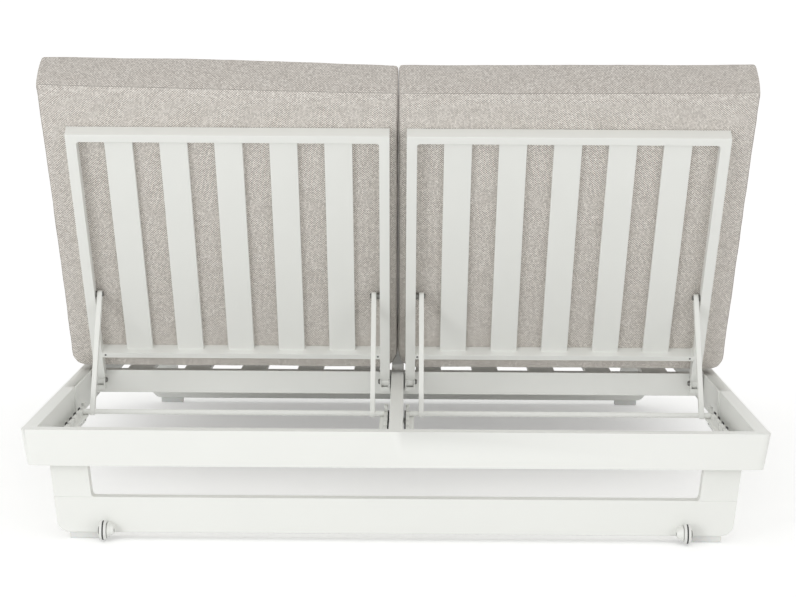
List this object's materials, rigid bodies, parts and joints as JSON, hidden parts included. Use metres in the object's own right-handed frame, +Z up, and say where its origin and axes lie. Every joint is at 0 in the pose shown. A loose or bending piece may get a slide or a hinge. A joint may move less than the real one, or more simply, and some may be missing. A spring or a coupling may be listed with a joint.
{
  "type": "double garden lounger",
  "caption": "Low double sun lounger on sled legs with separate reclining slatted backs, prop bars in toothed racks, small rear wheels and loose seat and back cushions.",
  "frame": {"origin": "on the floor under the middle of the platform", "axes": "+X to the right as seen from behind the backs, +Y toward the foot end, +Z up"},
  "size_m": [1.528, 1.9, 0.9628],
  "materials": {
    "painted_aluminium": "matte",
    "bolts": "satin",
    "wheel_plastic": "satin",
    "foot_plastic": "matte",
    "tread_rubber": "matte",
    "heather_cloth": "matte"
  },
  "bodies": {
    "platform": {"back_rail": "painted_aluminium", "front_rail": "painted_aluminium", "side_rail_left": "painted_aluminium", "side_rail_right": "painted_aluminium", "centre_beam": "painted_aluminium", "hinge_beams": "painted_aluminium", "side_plates": "painted_aluminium", "seat_slats_left": "painted_aluminium", "seat_slats_right": "painted_aluminium", "rear_leg_posts": "painted_aluminium", "rear_leg_rail": "painted_aluminium", "front_leg_posts": "painted_aluminium", "front_leg_rail": "painted_aluminium", "leg_brackets": "painted_aluminium", "foot_pads": "foot_plastic", "wheel_brackets": "painted_aluminium", "axle_bolts": "bolts", "racks_inner": "painted_aluminium", "racks_outer": "painted_aluminium", "rack_bolts": "bolts", "hinge_brackets": "painted_aluminium", "hinge_bolts": "bolts", "seat_cushion_left": "heather_cloth", "seat_cushion_right": "heather_cloth"},
    "backrest_left": {"back_posts_left": "painted_aluminium", "back_top_rail_left": "painted_aluminium", "back_low_rail_left": "painted_aluminium", "back_slats_left": "painted_aluminium", "hinge_tongues_left": "painted_aluminium", "pivot_bolts_left": "bolts", "back_cushion_left": "heather_cloth"},
    "prop_left": {"stays_left": "painted_aluminium", "prop_bar_left": "painted_aluminium"},
    "wheel_left": {"wheel_left": "wheel_plastic", "tread_left": "tread_rubber"},
    "backrest_right": {"back_posts_right": "painted_aluminium", "back_top_rail_right": "painted_aluminium", "back_low_rail_right": "painted_aluminium", "back_slats_right": "painted_aluminium", "hinge_tongues_right": "painted_aluminium", "pivot_bolts_right": "bolts", "back_cushion_right": "heather_cloth"},
    "prop_right": {"stays_right": "painted_aluminium", "prop_bar_right": "painted_aluminium"},
    "wheel_right": {"wheel_right": "wheel_plastic", "tread_right": "tread_rubber"}
  },
  "joints": [
    {"name": "recline_left", "type": "hinge", "parent": "platform", "child": "backrest_left", "pos_m": [-0.36295, -0.1552, 0.213], "axis": [1, 0, 0], "range_deg": [0, 53.7]},
    {"name": "prop_swing_left", "type": "hinge", "parent": "backrest_left", "child": "prop_left", "pos_m": [-0.36475, -0.30822, 0.43313], "axis": [1, 0, 0], "range_deg": [-110, 0]},
    {"name": "wheel_spin_left", "type": "hinge", "parent": "platform", "child": "wheel_left", "pos_m": [-0.5898, -0.911, 0.023], "axis": [1, 0, 0], "continuous": true},
    {"name": "recline_right", "type": "hinge", "parent": "platform", "child": "backrest_right", "pos_m": [0.36295, -0.1552, 0.213], "axis": [1, 0, 0], "range_deg": [0, 53.7]},
    {"name": "prop_swing_right", "type": "hinge", "parent": "backrest_right", "child": "prop_right", "pos_m": [0.36475, -0.30822, 0.43313], "axis": [1, 0, 0], "range_deg": [-110, 0]},
    {"name": "wheel_spin_right", "type": "hinge", "parent": "platform", "child": "wheel_right", "pos_m": [0.5898, -0.911, 0.023], "axis": [1, 0, 0], "continuous": true}
  ],
  "couplings": [
    {"joint": "prop_swing_left", "follows": "recline_left", "ratio": -2.035},
    {"joint": "prop_swing_right", "follows": "recline_right", "ratio": -2.035}
  ]
}
